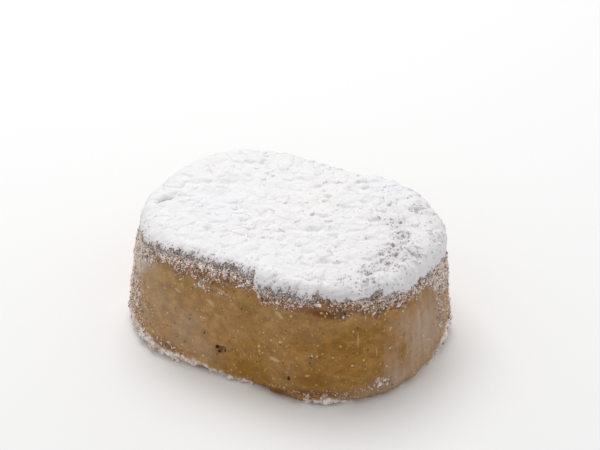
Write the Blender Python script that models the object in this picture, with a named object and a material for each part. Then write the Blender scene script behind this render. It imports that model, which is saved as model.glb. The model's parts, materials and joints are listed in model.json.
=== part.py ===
"""Polvoron: an oval almond shortbread, pressed and cut thick, under a coat of icing sugar.

Metres, +Z up. The cake's long axis lies along X and its base rests on Z = 0.
The origin is the middle of the base. The front, towards -Y, is the side best known.
"""

import math

import bmesh
import bpy
from mathutils import Vector, geometry, noise

MM = 0.001

# The pressed cake, without its sugar
TOP_LENGTH = 50.8 * MM
TOP_WIDTH = 37.8 * MM
HEIGHT = 20.2 * MM
CORNER_RADIUS = 16.2 * MM
SHOULDER_RADIUS = 2.6 * MM
FOOT_FLARE = 2.1 * MM
FLARE_SHAPE = 0.6
FOOT_RADIUS = 2.1 * MM
FOOT_TREAD = 1.8 * MM

# The coat of icing sugar
SUGAR_GAP = 0.3 * MM
SUGAR_DEPTH = 0.85 * MM
LIP_THICKNESS = 0.4 * MM
LIP_DROP = 1.5 * MM
LEAST_DROP = 0.45 * MM

# How finely each surface is divided
STEPS_AROUND = 128
WALL_STEPS = 15
SHOULDER_STEPS = 4
FOOT_STEPS = 3
LIP_STEPS = 5
TOP_SPACING = 0.86 * MM

# Hand-pressed unevenness of the outline:
# plan angle and half-width in degrees, then how far it swells at the foot and at the top in mm
SWELLS = (
    (58, 16, 0.3, 0.7),
    (135, 14, 0.0, -0.4),
    (140, 4, 0.0, 0.5),
    (165, 14, 0.0, -0.4),
    (-156, 14, 0.0, -0.3),
    (-128, 12, 0.4, 0.0),
    (-75, 14, -0.35, 0.0),
    (-46, 10, 0.4, 0.0),
    (24, 14, -0.1, 0.45),
)

# Small hollows in the cut wall: plan angle in degrees, height, radius and depth in mm
WALL_PITS = (
    (-96, 5.5, 1.3, 0.7),
    (-61, 4.8, 0.9, 0.5),
    (-100, 14.8, 1.3, 0.4),
    (-82, 15.2, 1.0, 0.35),
    (-30, 9.5, 1.1, 0.35),
    (-128, 8.0, 1.4, 0.35),
    (38, 7.0, 1.2, 0.5),
    (86, 11.0, 1.3, 0.5),
    (121, 5.0, 1.2, 0.45),
    (168, 9.0, 1.4, 0.45),
)

# Lobes where the sugar reaches further down, or stops short:
# plan angle, soft half-width on its clockwise and anticlockwise side in degrees, extra drop in mm
LIP_LOBES = (
    (-96, 30, 17, -1.0),
    (-45, 9, 9, 0.3),
    (4, 24, 20, 1.4),
    (72, 18, 14, 0.8),
    (112, 12, 16, -0.6),
    (158, 16, 12, 0.7),
    (-172, 10, 14, 0.2),
)

# Unevenness: the size of the lumps, then their depth
WALL_WAVES = (5.5 * MM, 0.16 * MM)
WALL_GRAIN = (1.7 * MM, 0.10 * MM)
FOOT_CRAGS = (2.3 * MM, 0.42 * MM)
SHOULDER_CRUMBS = (1.5 * MM, 0.16 * MM)
LIP_RAGGEDNESS = (2.1 * MM, 0.33 * MM)
SUGAR_CLUMPS = (3.6 * MM, 0.20 * MM)
SUGAR_GRAIN = (1.9 * MM, 0.20 * MM)
DEEPEST_HOLLOW = 0.55 * MM

# Where the crags and crumbs sit: height and half-width of each band
CRAG_HEIGHT = 1.2 * MM
CRAG_BAND = 1.5 * MM
CRUMB_HEIGHT = HEIGHT - 3.6 * MM
CRUMB_BAND = 1.3 * MM
SMOOTH_UNDER_SUGAR = 3.0 * MM

# Hollows in the sugar's top: x, y, radius and depth in mm
SUGAR_HOLLOWS = (
    (19.6, 3.2, 1.1, 0.45),
    (20.1, -8.6, 1.1, 0.40),
    (-14.7, 4.3, 1.9, 0.30),
    (11.0, 9.5, 1.4, 0.30),
    (3.0, -10.5, 1.5, 0.25),
)

# A short split in the sugar's top, in mm
SPLIT_START = (-21.8, -7.7)
SPLIT_END = (-20.0, -3.4)
SPLIT_HALF_WIDTH = 0.55
SPLIT_DEPTH = 0.5

DOUGH_COLOUR = (0.36, 0.21, 0.085, 1.0)
SUGAR_COLOUR = (0.89, 0.885, 0.89, 1.0)


def bell(distance, half_width):
    """1 at distance 0, falling smoothly to nothing past about twice the half-width."""
    return math.exp(-((distance / half_width) ** 2))


def turn_between(a, b):
    """Signed difference of two plan angles in degrees, from -180 to 180."""
    return (a - b + 180) % 360 - 180


def outline(share):
    """Point and outward direction of the top outline, a share of the way round from its +X end."""
    half_length = TOP_LENGTH / 2 - CORNER_RADIUS
    half_width = TOP_WIDTH / 2 - CORNER_RADIUS
    arc = CORNER_RADIUS * math.pi / 2
    corners = (
        (half_length, half_width, 2 * half_length),
        (-half_length, half_width, 2 * half_width),
        (-half_length, -half_width, 2 * half_length),
        (half_length, -half_width, 2 * half_width),
    )
    round_trip = 4 * (arc + half_length + half_width)
    left = share % 1.0 * round_trip
    if left < half_width:
        return Vector((TOP_LENGTH / 2, left)), Vector((1, 0))
    left -= half_width
    for quarter, (x, y, straight) in enumerate(corners):
        start = quarter * math.pi / 2
        if left < arc:
            angle = start + left / CORNER_RADIUS
            out = Vector((math.cos(angle), math.sin(angle)))
            return Vector((x, y)) + CORNER_RADIUS * out, out
        left -= arc
        out = Vector((math.cos(start + math.pi / 2), math.sin(start + math.pi / 2)))
        along = Vector((-out.y, out.x))
        if left < straight or quarter == 3:
            return Vector((x, y)) + CORNER_RADIUS * out + left * along, out
        left -= straight
    raise ValueError("share lies past the end of the outline")


def swell(angle, height):
    """How far the cake bulges outwards at this plan angle and height."""
    up = min(max(height / HEIGHT, 0), 1)
    return MM * sum(
        bell(turn_between(angle, centre), half_width) * (foot * (1 - up) + top * up)
        for centre, half_width, foot, top in SWELLS
    )


def wall_offset(height):
    """How far the wall stands out from the top outline: upright above, spread at the foot."""
    span = HEIGHT - SHOULDER_RADIUS - FOOT_RADIUS
    down = min(max((HEIGHT - SHOULDER_RADIUS - height) / span, 0), 1)
    return FOOT_FLARE * down**FLARE_SHAPE


def roughness(point, lumps):
    """Fractal unevenness, with lumps of about the given size and depth."""
    size, depth = lumps
    return depth * noise.fractal(point / size, 1.0, 2.2, 3)


def wall_relief(point, angle):
    """Height of the cut wall's crags and hollows above its smooth form."""
    height = point.z
    body = roughness(point, WALL_WAVES) + roughness(point, WALL_GRAIN)
    torn_foot = bell(height - CRAG_HEIGHT, CRAG_BAND) * roughness(point, FOOT_CRAGS)
    crumbly = bell(height - CRUMB_HEIGHT, CRUMB_BAND) * roughness(point, SHOULDER_CRUMBS)
    pits = 0
    for pit_angle, pit_height, radius, depth in WALL_PITS:
        across = math.radians(turn_between(angle, pit_angle)) * point.xy.length
        apart = math.hypot(across, height - pit_height * MM)
        pits -= depth * MM * bell(apart, 0.75 * radius * MM)
    under_sugar = min(max((HEIGHT - height) / SMOOTH_UNDER_SUGAR, 0), 1)
    return (body + torn_foot + crumbly) * under_sugar + pits


def on_cake(share, offset, height, tilt, lift=0.0):
    """A point on the cake's wall or shoulder, lifted off it along the surface.

    The tilt is the surface's own lean: 0 faces up and a quarter turn faces outwards.
    """
    base, out = outline(share)
    angle = math.degrees(math.atan2(base.y, base.x))
    base = base + out * (offset + swell(angle, height))
    point = Vector((base.x, base.y, height))
    facing = Vector((out.x * math.sin(tilt), out.y * math.sin(tilt), math.cos(tilt)))
    return point + facing * (wall_relief(point, angle) + lift)


def cake_profile():
    """Stations up the cake's side, as offset, height and tilt, from the flat base to the flat top."""
    stations = [(FOOT_FLARE - FOOT_RADIUS - FOOT_TREAD, 0.0, math.pi)]
    for step in range(FOOT_STEPS + 1):
        tilt = math.pi - math.pi / 2 * step / FOOT_STEPS
        offset = FOOT_FLARE - FOOT_RADIUS * (1 - math.sin(tilt))
        stations.append((offset, FOOT_RADIUS * (1 + math.cos(tilt)), tilt))
    low = FOOT_RADIUS
    high = HEIGHT - SHOULDER_RADIUS
    for step in range(1, WALL_STEPS + 1):
        height = low + (high - low) * step / WALL_STEPS
        stations.append((wall_offset(height), height, math.pi / 2))
    for step in range(1, SHOULDER_STEPS + 1):
        stations.append(shoulder(math.pi / 2 * (1 - step / SHOULDER_STEPS)))
    return stations


def shoulder(tilt):
    """Offset, height and tilt on the rounded shoulder."""
    offset = -SHOULDER_RADIUS * (1 - math.sin(tilt))
    return offset, HEIGHT - SHOULDER_RADIUS * (1 - math.cos(tilt)), tilt


def below_top(drop):
    """Offset, height and tilt at a drop below the cake's flat top."""
    if drop < SHOULDER_RADIUS:
        return shoulder(math.acos(1 - drop / SHOULDER_RADIUS))
    return wall_offset(HEIGHT - drop), HEIGHT - drop, math.pi / 2


def lip_drop(share):
    """How far below the cake's top the sugar ends: lobes, a bare bay and a ragged edge."""
    base, _ = outline(share)
    angle = math.degrees(math.atan2(base.y, base.x))
    drop = LIP_DROP
    for centre, clockwise, anticlockwise, extra in LIP_LOBES:
        apart = turn_between(angle, centre)
        half_width = clockwise if apart < 0 else anticlockwise
        drop += extra * MM * math.exp(-((abs(apart) / half_width) ** 6))
    ragged = roughness(Vector((base.x, base.y, 0.0)), LIP_RAGGEDNESS)
    return max(drop + ragged, LEAST_DROP)


def sugar_lumps(point):
    """Height of the sugar's clumps, hollows and split above its even depth."""
    plan = Vector((point.x, point.y, 0.35 * point.z))
    lumps = roughness(plan, SUGAR_CLUMPS) + roughness(plan, SUGAR_GRAIN)
    for x, y, radius, depth in SUGAR_HOLLOWS:
        apart = (plan.xy - Vector((x, y)) * MM).length
        lumps -= depth * MM * bell(apart, 0.8 * radius * MM)
    start = Vector(SPLIT_START) * MM
    end = Vector(SPLIT_END) * MM
    nearest, along = geometry.intersect_point_line(plan.xy, start, end)
    nearest = start + (end - start) * min(max(along, 0), 1)
    lumps -= SPLIT_DEPTH * MM * bell((plan.xy - nearest).length, SPLIT_HALF_WIDTH * MM)
    return max(lumps, -DEEPEST_HOLLOW)


def ring(place):
    """One closed ring of points around the cake."""
    return [place(step / STEPS_AROUND) for step in range(STEPS_AROUND)]


def tube(mesh, rings):
    """A grid bent round into a tube through rings of equal counts, its seam closed."""
    grid = bmesh.new()
    bmesh.ops.create_grid(grid, x_segments=STEPS_AROUND, y_segments=len(rings) - 1, size=1)
    for vert in grid.verts:
        column = round((vert.co.x + 1) / 2 * STEPS_AROUND) % STEPS_AROUND
        row = round((vert.co.y + 1) / 2 * (len(rings) - 1))
        vert.co = rings[row][column]
    scratch = bpy.data.meshes.new("tube")
    grid.to_mesh(scratch)
    grid.free()
    mesh.from_mesh(scratch)
    bpy.data.meshes.remove(scratch)


def sugared_top(mesh, rim, spacing):
    """A near-flat top inside the rim, on a staggered grid of points raised into lumps."""
    flat_rim = [point.xy for point in rim]
    columns = int(TOP_LENGTH / spacing)
    rows = int(TOP_WIDTH / spacing / 0.866)
    inside = []
    for row in range(rows + 1):
        y = (row - rows / 2) * spacing * 0.866
        for column in range(columns + 1):
            x = (column - columns / 2 + 0.5 * (row % 2)) * spacing
            spot = Vector((x, y))
            if within(spot, flat_rim) and min((spot - edge).length for edge in flat_rim) > 0.6 * spacing:
                inside.append(spot)
    count = len(flat_rim)
    edges = [(k, (k + 1) % count) for k in range(count)]
    points, _, faces, origins, _, _ = geometry.delaunay_2d_cdt(flat_rim + inside, edges, [], 1, 1e-7)
    verts = []
    for spot, origin in zip(points, origins):
        if origin and origin[0] < count:
            verts.append(mesh.verts.new(rim[origin[0]]))
        else:
            top = Vector((spot.x, spot.y, HEIGHT + SUGAR_GAP + SUGAR_DEPTH))
            verts.append(mesh.verts.new(top + Vector((0, 0, sugar_lumps(top)))))
    for face in faces:
        mesh.faces.new([verts[index] for index in face])


def within(spot, polygon):
    """Whether a plan point lies inside a closed outline."""
    inside = False
    for a, b in zip(polygon, polygon[1:] + polygon[:1]):
        if (a.y > spot.y) != (b.y > spot.y):
            if spot.x < a.x + (spot.y - a.y) * (b.x - a.x) / (b.y - a.y):
                inside = not inside
    return inside


def close_up(mesh, name, colour, roughness_value):
    """Welds the seams, fills what is still open, and makes the finished object."""
    bmesh.ops.remove_doubles(mesh, verts=mesh.verts, dist=0.002 * MM)
    bmesh.ops.holes_fill(mesh, edges=[edge for edge in mesh.edges if edge.is_boundary])
    bmesh.ops.recalc_face_normals(mesh, faces=mesh.faces)
    data = bpy.data.meshes.new(name)
    mesh.to_mesh(data)
    mesh.free()
    material = bpy.data.materials.new(name)
    material.use_nodes = True
    shader = material.node_tree.nodes["Principled BSDF"]
    shader.inputs["Base Color"].default_value = colour
    shader.inputs["Roughness"].default_value = roughness_value
    shader.inputs["Metallic"].default_value = 0.0
    data.materials.append(material)
    data.shade_smooth()
    return bpy.data.objects.new(name, data)


def dough_block():
    """The pressed and cut cake: one solid with a spread, torn foot and a rounded shoulder."""
    mesh = bmesh.new()
    rings = []
    for offset, height, tilt in cake_profile():
        points = ring(lambda share: on_cake(share, offset, height, tilt))
        if height == 0.0 or height == HEIGHT:
            points = [Vector((point.x, point.y, height)) for point in points]
        rings.append([Vector((point.x, point.y, max(point.z, 0.0))) for point in points])
    tube(mesh, rings)
    return close_up(mesh, "dough_block", DOUGH_COLOUR, 0.62)


def sugar_coat():
    """The sugar: a lumpy blanket over the top and shoulder, down to its uneven lip."""
    mesh = bmesh.new()

    def at(share, level, lift, lumpy):
        """A point of the coat, from the lip at level 0 to the edge of the flat top at level 1."""
        offset, height, tilt = below_top(lip_drop(share) * (1 - level) ** 2)
        point = on_cake(share, offset, height, tilt, SUGAR_GAP + lift)
        if not lumpy:
            return point
        facing = (point - on_cake(share, offset, height, tilt)).normalized()
        return point + facing * sugar_lumps(point) * min(level / 0.6, 1)

    levels = [step / LIP_STEPS for step in range(LIP_STEPS + 1)]
    inner = [ring(lambda share: at(share, level, 0.0, False)) for level in reversed(levels)]
    outer = [
        ring(lambda share: at(share, level, LIP_THICKNESS + (SUGAR_DEPTH - LIP_THICKNESS) * level**0.6, True))
        for level in levels
    ]
    inner[0] = [Vector((point.x, point.y, HEIGHT + SUGAR_GAP)) for point in inner[0]]
    tube(mesh, inner + outer)
    sugared_top(mesh, outer[-1], TOP_SPACING)
    return close_up(mesh, "sugar_coat", SUGAR_COLOUR, 0.8)


def centre_on_origin(pieces):
    """Slides the pieces so that the middle of the whole lies over the origin."""
    points = [vert.co for piece in pieces for vert in piece.data.vertices]
    middle_x = (min(p.x for p in points) + max(p.x for p in points)) / 2
    middle_y = (min(p.y for p in points) + max(p.y for p in points)) / 2
    for piece in pieces:
        for vert in piece.data.vertices:
            vert.co -= Vector((middle_x, middle_y, 0))


def main():
    for old in list(bpy.data.objects):
        bpy.data.objects.remove(old)
    pieces = [dough_block(), sugar_coat()]
    centre_on_origin(pieces)
    polvoron = bpy.data.collections.new("polvoron")
    bpy.context.scene.collection.children.link(polvoron)
    for piece in pieces:
        polvoron.objects.link(piece)


main()
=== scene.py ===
"""Polvoron, dressed for its portrait: pressed almond shortbread under a coat of icing sugar.

Metres, +Z up, in the frame of the solids. The tables hold plan angles in degrees and sizes in mm.
"""

import json
import math
from functools import partial

import bmesh
import bpy
import numpy as np
from mathutils import Matrix, Vector, geometry, noise

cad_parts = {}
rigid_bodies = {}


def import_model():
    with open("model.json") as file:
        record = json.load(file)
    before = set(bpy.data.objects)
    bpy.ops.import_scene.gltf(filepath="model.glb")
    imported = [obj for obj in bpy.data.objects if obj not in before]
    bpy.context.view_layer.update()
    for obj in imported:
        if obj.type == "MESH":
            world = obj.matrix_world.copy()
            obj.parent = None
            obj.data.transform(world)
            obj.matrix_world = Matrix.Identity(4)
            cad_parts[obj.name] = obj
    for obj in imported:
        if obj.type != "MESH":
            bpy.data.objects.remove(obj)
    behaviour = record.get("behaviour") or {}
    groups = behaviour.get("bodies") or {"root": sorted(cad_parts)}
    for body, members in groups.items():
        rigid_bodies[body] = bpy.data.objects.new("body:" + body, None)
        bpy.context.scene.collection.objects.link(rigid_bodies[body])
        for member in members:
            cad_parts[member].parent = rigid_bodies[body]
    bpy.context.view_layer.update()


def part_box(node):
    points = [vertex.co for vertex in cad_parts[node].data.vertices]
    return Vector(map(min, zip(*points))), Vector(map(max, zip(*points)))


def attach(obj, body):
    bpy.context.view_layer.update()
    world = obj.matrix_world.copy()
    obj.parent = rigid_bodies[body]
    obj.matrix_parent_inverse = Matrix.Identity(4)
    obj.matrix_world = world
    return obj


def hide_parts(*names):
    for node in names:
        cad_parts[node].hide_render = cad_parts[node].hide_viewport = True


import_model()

MM = 0.001

# The pressed cake, as its solids have it
TOP_LENGTH = 50.8 * MM
TOP_WIDTH = 37.8 * MM
HEIGHT = 20.2 * MM
CORNER_RADIUS = 16.2 * MM
SHOULDER_RADIUS = 2.6 * MM
FOOT_FLARE = 2.1 * MM
FLARE_SHAPE = 0.6
FOOT_RADIUS = 2.1 * MM
SUGAR_TOP = 1.15 * MM
LIP_DROP = 1.5 * MM
LEAST_DROP = 0.45 * MM

# The cake's middling radius in plan, for distances along its wall
MEAN_RADIUS = 22 * MM

# How finely the dressed surfaces are divided
STEPS_AROUND = 800
WALL_STEPS = 70
SHOULDER_STEPS = 12
FOOT_STEPS = 12
CAP_STEPS = 4
LIP_STEPS = 22
TOP_SPACING = 0.18 * MM
ROW_PITCH = 0.866
STATION_SHAPE = 1.6

# How deep the sugar's skin reaches under the cake's surface, and the least height of a grain
UNDER_SKIN = 0.15 * MM
CLEAR_OF_TABLE = 0.01 * MM

# Width of the creases between the sugar's clumps, as a share of a clump
CREASE_WIDTH = 0.22

# Swells of the outline: angle, half-width, then how far at the foot and at the top
SWELLS = (
    (58, 16, 0.3, 0.7),
    (135, 14, 0.0, -0.4),
    (140, 4, 0.0, 0.5),
    (165, 14, 0.0, -0.4),
    (-156, 14, 0.0, -0.3),
    (-128, 12, 0.4, 0.0),
    (-75, 14, -0.35, 0.0),
    (-46, 10, 0.4, 0.0),
    (24, 14, -0.1, 0.45),
)

# Hollows in the cut wall: angle, height, radius, depth
WALL_PITS = (
    (-96, 5.5, 1.3, 0.7),
    (-61, 4.8, 0.9, 0.5),
    (-100, 14.8, 1.3, 0.4),
    (-82, 15.2, 1.0, 0.35),
    (-30, 9.5, 1.1, 0.35),
    (-128, 8.0, 1.4, 0.35),
    (38, 7.0, 1.2, 0.5),
    (86, 11.0, 1.3, 0.5),
    (121, 5.0, 1.2, 0.45),
    (168, 9.0, 1.4, 0.45),
)

# Where the sugar's lip hangs lower or stops short: angle, half-width on either side, extra drop
LIP_LOBES = (
    (-96, 30, 18.5, -1.0),
    (-47, 4, 3, -0.8),
    (-41.5, 2.5, 2.5, -0.3),
    (-37, 2, 2.5, -0.5),
    (-28, 6, 4.5, -0.15),
    (4, 24, 20, 1.4),
    (5, 6, 8, 0.5),
    (27, 12, 16, 1.9),
    (72, 18, 14, 0.8),
    (112, 12, 16, -0.2),
    (158, 16, 12, 0.7),
    (-168, 12, 14, 0.9),
    (-145, 9, 9, 0.8),
)

# The lobe of the lip at the front where the sugar is smooth: angle, half-width
SMOOTH_LOBE_AT = -41
SMOOTH_LOBE_WIDTH = 7

# How thick the sugar still is where it ends, round the cake: angle, thickness
LIP_THICKNESS = (
    (-180, 0.15), (-150, 0.08), (-125, 0.05), (-84, 0.05), (-77, 0.45), (-70, 0.12), (-54, 0.1),
    (-47, 0.15), (-44, 0.8), (-37, 0.8), (-33, 0.15), (-10, 0.08), (10, 0.1), (30, 0.15), (66, 0.5),
    (78, 0.45), (100, 0.08), (140, 0.1), (156, 0.4), (180, 0.15),
)

# How far in from its edge the sugar thins to single grains, round the cake: angle, distance
FRAY_REACH = (
    (-180, 1.2), (-150, 1.2), (-136, 1.7), (-128, 1.8), (-117, 1.5), (-101, 1.5), (-94, 2.0),
    (-80, 1.7), (-77.5, 0.3), (-72, 0.9), (-64, 1.8), (-50, 1.6), (-46, 0.6), (-44, 0.3),
    (-37, 0.3), (-33, 1.0), (-20, 1.2), (-8, 0.8), (20, 0.9), (34, 1.3), (60, 0.8), (66, 0.4),
    (78, 0.4), (100, 1.0), (140, 0.9), (156, 0.5), (170, 0.6), (180, 1.2),
)

# Hollows in the sugar's top: x, y, radius, depth
SUGAR_HOLLOWS = (
    (19.6, 3.2, 1.1, 0.45),
    (20.1, -8.6, 1.1, 0.40),
    (-14.7, 4.3, 1.9, 0.30),
    (11.0, 9.5, 1.4, 0.30),
    (3.0, -10.5, 1.5, 0.25),
)

# The split near the sugar's left end: both ends in plan, half-width, depth. Then the finer crack
# along it, through which the cake shows: both ends, half-width
SPLIT = ((-21.8, -7.7), (-20.0, -3.4), 0.55, 0.5)
CRACK = ((-21.6, -7.4), (-19.6, -3.7), 0.22)

# Small notches between clumps: x, y, half-length, half-width, turn in degrees, depth
SUGAR_NOTCHES = (
    (-20.7, -5.6, 1.5, 0.28, 62, 0.55),
    (-14.6, 4.2, 1.6, 0.7, 25, 0.35),
    (-11.5, 6.2, 1.1, 0.5, 40, 0.30),
    (-17.5, 2.0, 1.0, 0.4, 10, 0.25),
    (-4.8, 3.2, 0.6, 0.5, 30, 0.35),
    (-6.0, -5.1, 0.5, 0.5, 70, 0.35),
    (-9.6, -10.6, 0.9, 0.35, -10, 0.28),
    (-6.6, -11.0, 0.9, 0.35, 60, 0.28),
    (-11.8, 12.3, 1.2, 0.5, 20, 0.28),
    (0.0, 10.4, 0.8, 0.45, 35, 0.35),
    (7.9, 14.4, 1.4, 0.4, 24, 0.30),
    (9.0, 10.1, 1.1, 0.45, 45, 0.35),
    (7.4, 7.0, 1.7, 0.5, 28, 0.35),
    (3.0, 8.2, 0.4, 0.35, 0, 0.40),
    (5.2, -1.6, 1.6, 0.5, 30, 0.40),
    (5.6, 2.5, 1.0, 0.45, 15, 0.35),
    (9.3, -1.7, 1.0, 0.35, 45, 0.35),
    (11.7, -3.4, 0.6, 0.3, -60, 0.40),
    (13.4, 6.4, 0.5, 0.4, 20, 0.45),
    (2.6, -3.1, 1.2, 0.4, 25, 0.30),
    (15.0, 0.5, 1.0, 0.4, 10, 0.35),
    (12.0, -9.0, 1.3, 0.45, 40, 0.35),
)

# Where the sugar is thin enough for the cake to prick through: x, y, radius, strength
THIN_SPOTS = (
    (19.5, 3.6, 1.5, 0.9),
    (18.9, -8.3, 1.2, 1.0),
    (18.2, 12.4, 1.5, 0.8),
    (16.5, 6.9, 2.0, 0.7),
    (20.9, -0.9, 2.6, 0.75),
    (24.1, 1.2, 1.4, 0.7),
    (20.1, -4.4, 2.2, 0.7),
    (24.9, -4.4, 1.5, 0.8),
    (13.4, 6.4, 0.8, 0.6),
    (24.4, 5.8, 0.8, 0.6),
    (22.5, -11.5, 2.2, 0.7),
    (17.0, -12.5, 1.5, 0.5),
    (3.0, 8.2, 0.5, 0.6),
    (-4.8, 3.2, 0.4, 0.4),
)

# Height on the wall down to which grains of sugar and crumbs stay caught: angle, height
BAND_FLOOR = (
    (-180, 12.5), (-160, 12.0), (-150, 12.8), (-144, 14.6), (-137, 15.8), (-130, 16.9), (-125, 17.5),
    (-119, 17.6), (-110, 17.1), (-104, 16.9), (-98, 17.8), (-88, 18.1), (-80, 18.0), (-77, 18.0),
    (-74, 17.2), (-60, 17.2), (-55, 17.5), (-50, 18.0), (-45, 17.7), (-41, 16.9), (-36, 16.6),
    (-27, 16.2), (-18, 16.1), (-10, 15.6), (0, 15.6), (4, 14.6), (9, 11.0), (25, 11.5), (45, 14.0),
    (80, 15.5), (110, 16.5), (140, 15.0), (165, 13.5), (180, 12.5),
)

# Share of the band's grains that are sugar, round the cake: angle, share
BAND_WHITENESS = (
    (-180, 0.8), (-155, 0.8), (-135, 0.75), (-112, 0.65), (-95, 0.52), (-75, 0.48), (-60, 0.30),
    (-46, 0.26), (-36, 0.40), (-24, 0.6), (-12, 0.75), (5, 0.95), (30, 0.8), (60, 0.5), (90, 0.55),
    (120, 0.4), (150, 0.65), (180, 0.8),
)

# Height up to which the foot carries sugar from its tray: angle, height
RIM_TOP = (
    (-180, 2.6), (-150, 3.5), (-138, 3.3), (-128, 2.9), (-118, 2.5), (-104, 1.9), (-88, 1.7),
    (-80, 1.3), (-74, 0.2), (-57, 0.0), (-54, 1.3), (-46, 1.8), (-40, 1.4), (-35, 0.3), (-6, 0.4),
    (4, 2.2), (12, 4.4), (19, 4.6), (30, 1.6), (60, 0.8), (95, 1.6), (130, 0.6), (160, 1.8),
    (180, 2.2),
)

# Soft patches on the wall, all as angle, height, half-width, half-height, strength.
# Sugar rubbed into the crumb as a thin haze:
HAZE = (
    (-113, 7.6, 3.4, 3.6, 0.62),
    (-126, 11.0, 3.4, 4.0, 0.45),
    (-134, 5.0, 3.0, 4.0, 0.35),
    (-104, 4.5, 3.0, 1.8, 0.4),
    (-9, 8.0, 2.8, 5.0, 0.75),
    (-16, 12.5, 2.0, 2.4, 0.35),
    (-2, 6.0, 2.6, 4.0, 0.8),
    (-19, 3.0, 2.6, 2.4, 0.9),
    (-34, 1.2, 3.6, 1.4, 1.0),
    (5, 8.0, 3.2, 5.0, 0.8),
    (-52, 13.0, 2.4, 1.6, 0.2),
    (-161, 15.5, 5.0, 2.0, 0.9),
    (-149, 12.0, 3.6, 3.0, 0.9),
    (52, 8.0, 4.5, 4.0, 0.65),
    (98, 9.0, 6.0, 4.0, 0.5),
    (150, 8.5, 4.5, 4.5, 0.65),
    (-172, 8.0, 4.0, 5.0, 0.7),
)
# A whiter film that hides the crumb's own colour:
FILMED = (
    (-154, 16.2, 6.0, 2.6, 1.0),
    (-144, 13.6, 2.4, 2.2, 0.4),
    (-2, 17.6, 3.0, 1.0, 0.7),
)
# Where the crumb is most amber:
AMBER = (
    (-58, 8.0, 12.0, 8.0, 0.8),
    (-31, 8.5, 5.5, 7.0, 1.0),
    (-85, 4.0, 8.0, 3.0, 0.5),
    (40, 10.0, 8.0, 6.0, 0.5),
    (80, 6.0, 10.0, 5.0, 0.8),
    (125, 9.0, 8.0, 6.0, 0.7),
)
# Crumb toasted dark brown, and the row at the foot near -45 degrees painted shade among the sugar
# crumbs:
TOASTED_AND_FOOT_SHADE = (
    (-48, 17.5, 2.0, 0.6, 1.0),
    (-43.5, 17.0, 2.0, 0.6, 1.0),
    # painted shade in the gaps among the foot's sugar crumbs
    (-45, 0.8, 3.4, 0.7, 0.9),
    (-64, 1.3, 3.0, 0.8, 1.0),
    (-50, 5.0, 2.6, 1.3, 0.5),
    (-50, 2.6, 4.6, 0.6, 0.9),
    (-94.8, 5.6, 0.8, 0.6, 1.4),
    (-122, 3.0, 1.8, 0.5, 0.8),
    (76, 15.0, 3.0, 0.9, 0.8),
    (132, 2.0, 3.0, 1.0, 0.8),
)
# Where sugar lies thickest among the caught grains:
SNOWED = (
    (-157, 16.6, 5.0, 2.2, 1.0),
    (-150, 8.0, 3.6, 6.0, 1.0),
    (-106, 17.0, 1.0, 0.7, 1.0),
    (-76, 18.6, 0.7, 1.3, 1.0),
    (20, 15.0, 3.0, 3.0, 0.8),
    (20, 5.0, 2.6, 4.0, 0.7),
    (-143, 16.4, 3.2, 2.0, 1.0),
    (-148, 12.4, 1.3, 1.5, 1.0),
    (0, 16.3, 3.4, 2.4, 1.0),
    (12, 14.0, 3.4, 4.2, 1.0),
    (10, 4.5, 2.4, 2.2, 0.9),
    (-27, 3.3, 1.2, 1.0, 1.0),
    (-23, 17.2, 3.0, 0.5, 0.5),
    (100, 16.0, 3.0, 1.2, 0.6),
    (175, 15.0, 4.0, 2.0, 0.7),
)
# Where the cutter scraped upright streaks:
SCRAPED = (
    (-5, 9.0, 5.2, 8.0, 1.0),
    (-22, 6.0, 2.5, 6.0, 0.4),
    (140, 9.0, 6.0, 7.0, 1.0),
)
# Sugar and crumbs caught away from the band:
STRAY_DUST = (
    (-144, 7.0, 3.4, 4.0, 0.9),
    (-150, 6.0, 3.4, 4.5, 1.0),
    (-158, 8.0, 3.4, 5.0, 0.8),
    (-140, 3.5, 2.4, 2.0, 0.6),
    (-138, 2.6, 3.0, 0.8, 0.8),
    (9, 9.0, 1.8, 3.5, 0.6),
    (22, 8.0, 3.4, 5.0, 0.5),
    (-26.5, 3.4, 1.3, 1.0, 1.0),
    (-47, 2.2, 4.2, 0.8, 0.9),
    (-33, 2.6, 1.6, 0.4, 0.6),
    (-122, 3.2, 2.2, 0.5, 0.8),
    (-100, 16.2, 4.0, 0.5, 0.6),
    (60, 6.0, 2.4, 3.0, 0.4),
    (118, 8.0, 3.0, 3.0, 0.4),
    (172, 5.0, 3.0, 3.0, 0.5),
)
# Small pits painted almost black, as painted shade inside them:
SHADED_PITS = (
    (-97.3, 5.7, 0.36, 0.45, 1.0),
    (-96.0, 4.9, 0.5, 0.22, 0.85),
    (-92.2, 5.7, 0.2, 0.5, 1.0),
    (-93.4, 6.3, 0.4, 0.16, 0.85),
    (-59.0, 4.5, 0.28, 0.4, 1.0),
    (-34.5, 14.6, 0.25, 0.2, 0.7),
    (-51, 9.3, 0.18, 0.2, 0.8),
    (-31, 10.1, 0.2, 0.25, 0.8),
    (-112, 9.6, 0.2, 0.2, 0.8),
    (-104, 8.0, 0.2, 0.35, 0.8),
    (-101, 16.0, 0.3, 0.15, 1.0),
    (-84, 14.6, 0.16, 0.3, 0.9),
    (86, 11.0, 0.5, 0.5, 0.9),
    (121, 5.0, 0.4, 0.4, 0.9),
    (38, 7.0, 0.4, 0.5, 0.8),
    (168, 9.0, 0.5, 0.4, 0.8),
)

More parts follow.
